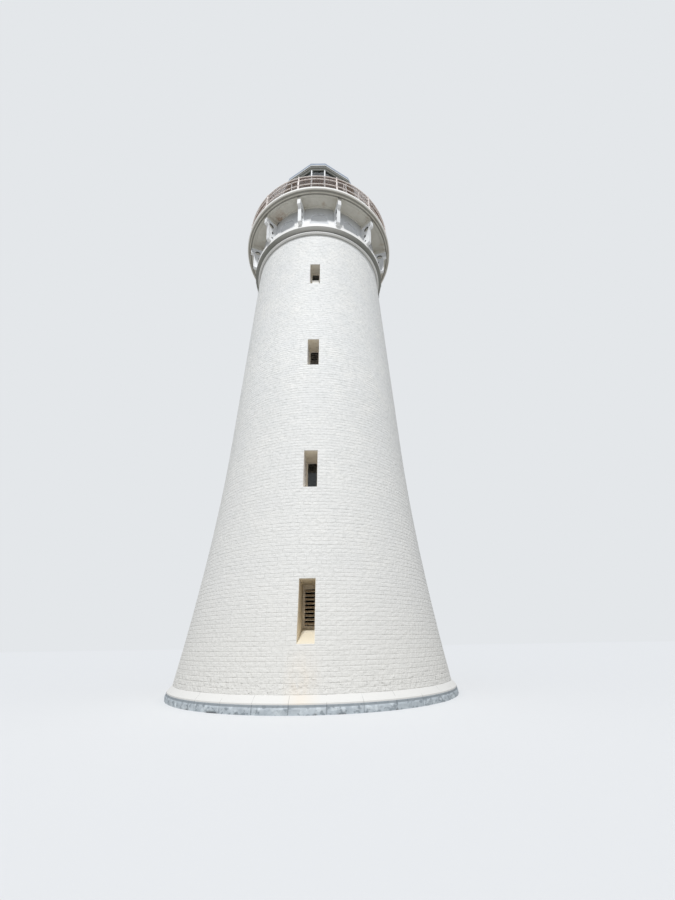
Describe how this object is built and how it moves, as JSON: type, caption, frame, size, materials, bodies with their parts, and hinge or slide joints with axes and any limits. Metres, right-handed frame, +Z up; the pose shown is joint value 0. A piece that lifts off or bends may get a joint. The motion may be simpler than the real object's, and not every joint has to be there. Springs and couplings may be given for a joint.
{
  "type": "lighthouse",
  "caption": "White-painted round brick lighthouse with a flared foot, deep narrow windows, pierced iron brackets under a railed gallery, and a glazed lantern.",
  "frame": {"origin": "centre of the underside of the plinth, at ground level", "axes": "+Z up the tower's axis, -Y towards the line of windows at the front, +X to the right of it"},
  "size_m": [7.7796, 7.7792, 24.951],
  "materials": {
    "painted_brick": "matt white masonry paint over brickwork",
    "painted_stone": "matt white masonry paint over dressed stone",
    "blue_stone": "rock-faced, painted blue-grey",
    "painted_iron": "satin white",
    "blue_paint": "satin pale blue and white",
    "rail_paint": "weathered off-white",
    "soffit_stone": "painted beige-grey",
    "floor_stone": "worn paving",
    "floor_timber": "bare boards",
    "painted_timber": "old cream paint",
    "lantern_pane": "clear",
    "window_pane": "clear"
  },
  "bodies": {
    "root": {"plinth": "blue_stone", "weathering_course": "painted_stone", "ground_wall_front": "painted_brick", "ground_wall_right": "painted_brick", "ground_wall_back": "painted_brick", "ground_wall_left": "painted_brick", "first_wall_front": "painted_brick", "first_wall_right": "painted_brick", "first_wall_back": "painted_brick", "first_wall_left": "painted_brick", "second_wall_front": "painted_brick", "second_wall_right": "painted_brick", "second_wall_back": "painted_brick", "second_wall_left": "painted_brick", "third_wall_front": "painted_brick", "third_wall_right": "painted_brick", "third_wall_back": "painted_brick", "third_wall_left": "painted_brick", "cornice": "painted_stone", "drum_front": "painted_brick", "drum_right": "painted_brick", "drum_back": "painted_brick", "drum_left": "painted_brick", "bracket_blocks": "painted_stone", "gallery_brackets": "painted_iron", "gallery_slab": "soffit_stone", "railing_posts": "rail_paint", "railing_rails": "rail_paint", "lantern_base": "painted_iron", "lantern_sill": "painted_iron", "lantern_mullions": "painted_iron", "lantern_glass": "lantern_pane", "lantern_eave": "blue_paint", "lantern_roof": "painted_iron", "ventilator": "painted_iron", "ground_floor": "floor_stone", "first_floor": "floor_timber", "second_floor": "floor_timber", "third_floor": "floor_timber", "window_frames": "painted_timber", "window_glass": "window_pane", "window_louvres": "painted_timber", "door_frame": "painted_timber", "door_leaf": "painted_timber"}
  },
  "joints": []
}
